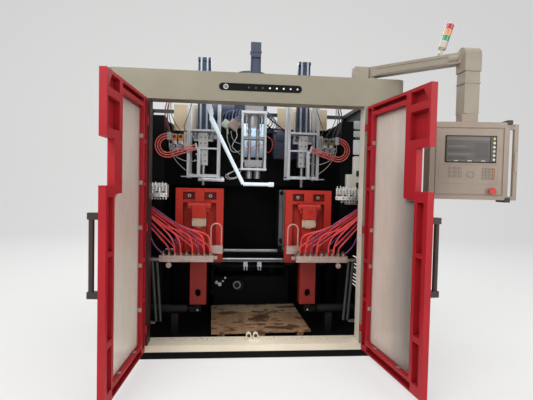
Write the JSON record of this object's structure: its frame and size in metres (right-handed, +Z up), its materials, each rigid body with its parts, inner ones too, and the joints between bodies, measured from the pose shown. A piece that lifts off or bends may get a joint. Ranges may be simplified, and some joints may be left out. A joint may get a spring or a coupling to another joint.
{
  "type": "blow moulding machine",
  "caption": "Two-station extrusion blow moulding machine with open guard doors, shuttling mould clamps, blow heads, a die head and an operator panel on a swing arm.",
  "frame": {"origin": "on the floor, at the centre of the enclosure's base, on the underside of the base frame's middle beam", "axes": "+X to the right as an operator faces the doors, +Y into the machine, +Z up; the front of the machine faces -Y"},
  "size_m": [3.0477, 2.7127, 2.97],
  "materials": {
    "black_frame": "satin black frame paint",
    "cream_paint": "satin cream enclosure paint",
    "arm_grey": "warm grey casting and tube paint",
    "badge_black": "gloss black strip",
    "lamp_white": "clear white indicator lens",
    "board": "plywood",
    "rail_steel": "ground and chromed bar",
    "cylinder_black": "black cylinder paint",
    "machined_steel": "machined steel",
    "head_white": "white paint",
    "drive_blue": "blue drive paint",
    "conduit_white": "white flexible conduit",
    "valve_metal": "machined aluminium",
    "profile": "anodised profile",
    "clamp_red": "orange red machine paint",
    "cap_cream": "cream cylinder cap",
    "mould": "mould alloy",
    "manifold_bar": "anodised manifold bar",
    "hose_red": "red hose",
    "hose_blue": "blue hose",
    "hose_grey": "grey black hose",
    "blow_metal": "machined aluminium",
    "door_red": "crimson door paint",
    "pane": "clear polycarbonate sheet with a milky haze",
    "trim": "pane trim and screws",
    "handle_metal": "grey handle tube",
    "cap_black": "black corner plastic",
    "screen": "dark display glass",
    "keys": "key caps",
    "stop_red": "red button",
    "tower_grey": "grey plastic",
    "lens_green": "green lens",
    "lens_amber": "amber lens",
    "lens_red": "red lens"
  },
  "bodies": {
    "machine": {"base_frame": "black_frame", "front_sill": "cream_paint", "header_beam": "cream_paint", "front_posts": "cream_paint", "outer_panels": "cream_paint", "badge_strip": "badge_black", "indicator_lamps": "lamp_white", "plywood_board": "board", "press_frame": "black_frame", "cross_rails": "rail_steel", "shuttle_cylinders": "cylinder_black", "die_head": "machined_steel", "head_frame": "head_white", "extruder": "machined_steel", "drive_unit": "drive_blue", "hydraulic_unit": "cylinder_black", "conduit": "conduit_white", "valve_blocks": "valve_metal", "blow_frames": "profile", "blow_hoses": "hose_red", "arm_base": "arm_grey"},
    "left_station": {"left_carriage": "black_frame", "left_clamp_frame": "clamp_red", "left_clamp_cylinder": "cap_cream", "left_manifold": "manifold_bar", "left_red_hoses": "hose_red", "left_blue_hoses": "hose_blue", "left_return_hoses": "hose_grey"},
    "left_front_clamp": {"left_front_platen": "mould"},
    "left_rear_clamp": {"left_rear_platen": "mould"},
    "left_blow": {"left_blow_head": "blow_metal"},
    "left_door": {"left_door_tray": "door_red", "left_door_window": "pane", "left_door_trim": "trim", "left_door_handle": "handle_metal"},
    "right_station": {"right_carriage": "black_frame", "right_clamp_frame": "clamp_red", "right_clamp_cylinder": "cap_cream", "right_manifold": "manifold_bar", "right_red_hoses": "hose_red", "right_blue_hoses": "hose_blue", "right_return_hoses": "hose_grey"},
    "right_front_clamp": {"right_front_platen": "mould"},
    "right_rear_clamp": {"right_rear_platen": "mould"},
    "right_blow": {"right_blow_head": "blow_metal"},
    "right_door": {"right_door_tray": "door_red", "right_door_window": "pane", "right_door_trim": "trim", "right_door_handle": "handle_metal"},
    "arm": {"swing_arm": "arm_grey", "tower_foot": "tower_grey"},
    "panel": {"panel_box": "cream_paint", "panel_caps": "cap_black", "panel_screen": "screen", "panel_keys": "keys"},
    "stop": {"stop_button": "stop_red"},
    "tower": {"tower_body": "tower_grey", "tower_green": "lens_green", "tower_amber": "lens_amber", "tower_red": "lens_red"}
  },
  "joints": [
    {"name": "left_shuttle", "type": "slide", "parent": "machine", "child": "left_station", "axis": [1, 0, 0], "range_m": [0, 0.5]},
    {"name": "left_clamp", "type": "slide", "parent": "left_station", "child": "left_front_clamp", "axis": [0, 1, 0], "range_m": [-0.09, 0]},
    {"name": "left_clamp_rear", "type": "slide", "parent": "left_station", "child": "left_rear_clamp", "axis": [0, 1, 0], "range_m": [0, 0.09]},
    {"name": "left_blow_slide", "type": "slide", "parent": "machine", "child": "left_blow", "axis": [0, 0, 1], "range_m": [-0.18, 0]},
    {"name": "left_door_hinge", "type": "hinge", "parent": "machine", "child": "left_door", "pos_m": [-0.878, -0.9, 1.06], "axis": [0, 0, 1], "range_deg": [-5, 94]},
    {"name": "right_shuttle", "type": "slide", "parent": "machine", "child": "right_station", "axis": [1, 0, 0], "range_m": [-0.5, 0]},
    {"name": "right_clamp", "type": "slide", "parent": "right_station", "child": "right_front_clamp", "axis": [0, 1, 0], "range_m": [-0.09, 0]},
    {"name": "right_clamp_rear", "type": "slide", "parent": "right_station", "child": "right_rear_clamp", "axis": [0, 1, 0], "range_m": [0, 0.09]},
    {"name": "right_blow_slide", "type": "slide", "parent": "machine", "child": "right_blow", "axis": [0, 0, 1], "range_m": [-0.18, 0]},
    {"name": "right_door_hinge", "type": "hinge", "parent": "machine", "child": "right_door", "pos_m": [0.878, -0.9, 1.06], "axis": [0, 0, -1], "range_deg": [-2, 97.3]},
    {"name": "arm_swing", "type": "hinge", "parent": "machine", "child": "arm", "pos_m": [0.945, -0.805, 2.37], "axis": [0, 0, 1], "range_deg": [-4, 55]},
    {"name": "panel_turn", "type": "hinge", "parent": "arm", "child": "panel", "pos_m": [1.49912, -1.30745, 1.93], "axis": [0, 0, 1], "range_deg": [-25, 60]},
    {"name": "stop_press", "type": "slide", "parent": "panel", "child": "stop", "axis": [0.1392, 0.9903, 0], "range_m": [0, 0.006], "stiffness_N_per_m": 2000},
    {"name": "tower_fold", "type": "hinge", "parent": "arm", "child": "tower", "pos_m": [1.34948, -1.17176, 2.446], "axis": [0, 1, 0], "range_deg": [-18, 40]}
  ],
  "couplings": [
    {"joint": "left_clamp_rear", "follows": "left_clamp", "ratio": -1},
    {"joint": "right_clamp_rear", "follows": "right_clamp", "ratio": -1}
  ]
}
